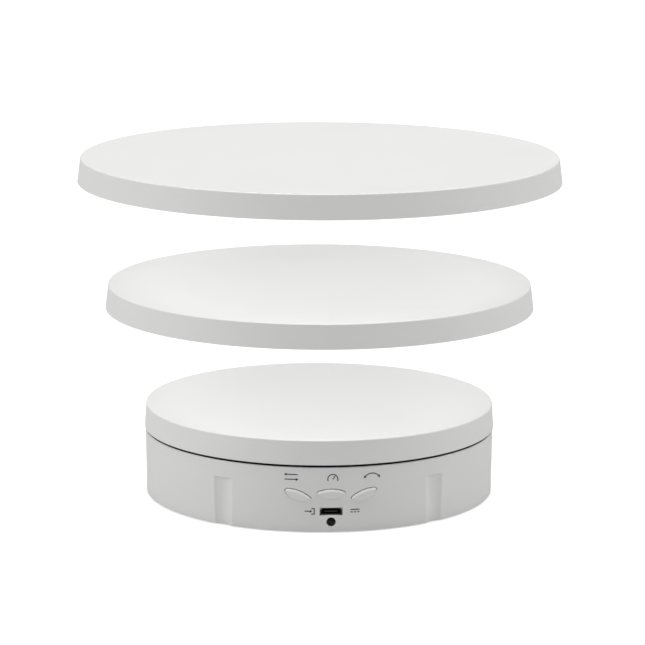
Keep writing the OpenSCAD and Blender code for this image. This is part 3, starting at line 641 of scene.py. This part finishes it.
def finish_mesh(bm, name, sharp_angle):
    """Turns the bmesh into an object, smooth except across edges sharper than the angle."""
    for face in bm.faces:
        face.smooth = True
    for edge in bm.edges:
        between_two = len(edge.link_faces) == 2
        edge.smooth = between_two and edge.calc_face_angle() < math.radians(sharp_angle)
    mesh = bpy.data.meshes.new(name)
    bm.to_mesh(mesh)
    bm.free()
    piece = bpy.data.objects.new(name, mesh)
    scene.collection.objects.link(piece)
    return piece


def make_keys(made):
    for side, word in ((-1, "direction"), (0, "speed"), (1, "angle")):
        piece = Key(side).build(word + "_key_cap")
        piece.data.materials.append(made["key_plastic"])
        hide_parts(word + "_key")
        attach(piece, word + "_button")


# ---------- Signs printed on the wall ----------

class Sign:
    """A printed sign: strokes and arrowheads in millimetres, wrapped round the wall about a centre."""

    def __init__(self, x, z):
        self.centre = Vector((x, z))
        self.bm = bmesh.new()

    def vertex(self, point, lift):
        at = point + self.centre
        return self.bm.verts.new(on_cylinder(at.x, at.y, wall_radius(at.y) + lift))

    def slab(self, points):
        """A thin patch of ink with a convex outline."""
        outer = [self.vertex(p, SIGN_INK_T) for p in points]
        inner = [self.vertex(p, -SIGN_INK_T) for p in points]
        count = len(points)
        self.bm.faces.new(outer)
        self.bm.faces.new(inner[::-1])
        for i in range(count):
            j = (i + 1) % count
            self.bm.faces.new((inner[i], inner[j], outer[j], outer[i]))

    def line(self, points):
        """A stroke with mitred corners through the points."""
        half = SIGN_STROKE / 2
        left, right = [], []
        for i, point in enumerate(points):
            before = (point - points[i - 1]).normalized() if i else None
            after = (points[i + 1] - point).normalized() if i < len(points) - 1 else None
            ways = [w for w in (before, after) if w]
            way = sum(ways, Vector((0, 0))).normalized()
            reach = half / max(way.dot(ways[0]), 0.5)
            side = Vector((-way.y, way.x)) * reach
            left.append(point + side)
            right.append(point - side)
        rows = []
        for a, b in zip(left, right):
            rows.append([self.vertex(a, SIGN_INK_T), self.vertex(b, SIGN_INK_T),
                         self.vertex(b, -SIGN_INK_T), self.vertex(a, -SIGN_INK_T)])
        for first, second in zip(rows, rows[1:]):
            for k in range(4):
                self.bm.faces.new((first[k], first[(k + 1) % 4], second[(k + 1) % 4], second[k]))
        self.bm.faces.new(rows[0][::-1])
        self.bm.faces.new(rows[-1])

    def straight(self, start, end, step=0.5):
        start, end = Vector(start), Vector(end)
        steps = max(round((end - start).length / step), 1)
        self.line([start.lerp(end, i / steps) for i in range(steps + 1)])

    def head(self, tip, degrees, length=ARROW_LENGTH, width=ARROW_WIDTH):
        """An arrowhead that points along the angle."""
        way = Vector((math.cos(math.radians(degrees)), math.sin(math.radians(degrees))))
        side = Vector((-way.y, way.x)) * width / 2
        tip = Vector(tip)
        self.slab([tip, tip - way * length + side, tip - way * length - side])

    def build(self, name, made):
        bmesh.ops.recalc_face_normals(self.bm, faces=self.bm.faces)
        piece = finish_mesh(self.bm, name, 30)
        piece.data.materials.append(made["sign_ink"])
        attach(piece, "base")


def swing(sign, radius, start, end, centre_z, steps=16):
    """An arc stroke from one angle to another, in degrees, about a point under the sign's centre."""
    angles = [math.radians(mix(start, end, i / steps)) for i in range(steps + 1)]
    points = [Vector((radius * math.cos(a), centre_z + radius * math.sin(a))) for a in angles]
    sign.line(points)
    return points


def direction_sign(made):
    """Two opposed arrows."""
    sign = Sign(DIRECTION_SIGN_X, SIGN_Z)
    for z, way in ((1.0, -1), (-1.0, 1)):
        sign.straight((-way * 2.6, z), (way * 1.9, z))
        sign.head((way * 2.9, z), 0 if way > 0 else 180)
    sign.build("direction_sign", made)


def speed_sign(made):
    """A dial with its hand: an open arc, and a hand from its middle."""
    sign = Sign(SPEED_SIGN_X, SIGN_Z)
    pivot_z = -0.75
    swing(sign, 2.0, 200, -20, pivot_z)
    sign.straight((0, pivot_z), (0.95, 0.6))
    sign.build("speed_sign", made)


def angle_sign(made):
    """An arc with an arrowhead at each end, for a swing to and fro."""
    sign = Sign(ANGLE_SIGN_X, SIGN_Z)
    points = swing(sign, 3.7, 142, 38, -2.6)
    for end, way in ((points[-1], 1), (points[0], -1)):
        sign.head(end + Vector((way * 0.45, -0.55)), 270 + way * 40)
    sign.build("angle_sign", made)


def power_signs(made):
    """Left of the socket an arrow into a bracket, and right of it a full stroke over a broken one."""
    socket_low, socket_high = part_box("usb_shell")
    middle = (socket_low.z + socket_high.z) / 2 / MM
    entry = Sign(POWER_IN_SIGN_X, middle)
    entry.straight((-2.0, 0), (0.2, 0))
    entry.head((1.0, 0), 0, 1.0, 1.2)
    bracket = [(0.6, 1.15), (1.75, 1.15), (1.75, -1.15), (0.6, -1.15)]
    entry.line([Vector(corner) for corner in bracket])
    entry.build("power_in_sign", made)
    supply = Sign(DIRECT_CURRENT_SIGN_X, middle)
    supply.straight((-1.8, 0.5), (1.8, 0.5))
    for x in (-1.35, 0, 1.35):
        supply.straight((x - 0.45, -0.5), (x + 0.45, -0.5))
    supply.build("direct_current_sign", made)


make_camera()
make_floor()
make_light()
made = make_materials()
make_keys(made)
direction_sign(made)
speed_sign(made)
angle_sign(made)
power_signs(made)
